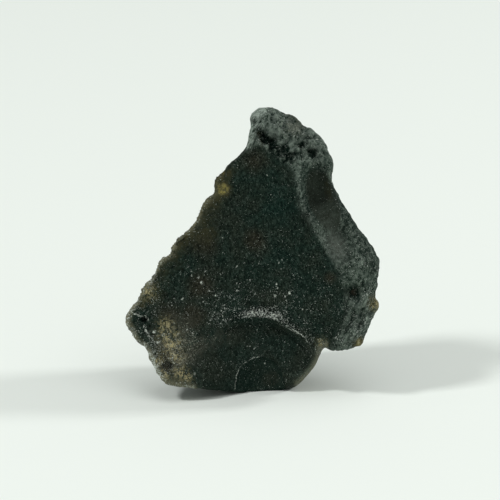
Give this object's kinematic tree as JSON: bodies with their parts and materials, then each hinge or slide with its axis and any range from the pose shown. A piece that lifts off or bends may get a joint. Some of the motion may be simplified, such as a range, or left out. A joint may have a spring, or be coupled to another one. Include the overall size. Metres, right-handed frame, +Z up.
{
  "type": "tektite",
  "caption": "Broken piece of black natural glass with a hollow conchoidal face, a thin scalloped edge and a lumpy pitted crown, standing on a small flat spot.",
  "frame": {"origin": "on the floor, under the middle of the stone's footprint box", "axes": "+Z up with the stone standing on its flat spot, -Y out of the hollow broken face, +X towards the thick lumpy flank"},
  "size_m": [0.0284, 0.0146, 0.0318],
  "materials": {
    "tektite_glass": "etched black natural glass, nearly opaque, satin"
  },
  "bodies": {
    "root": {"tektite": "tektite_glass"}
  },
  "joints": []
}
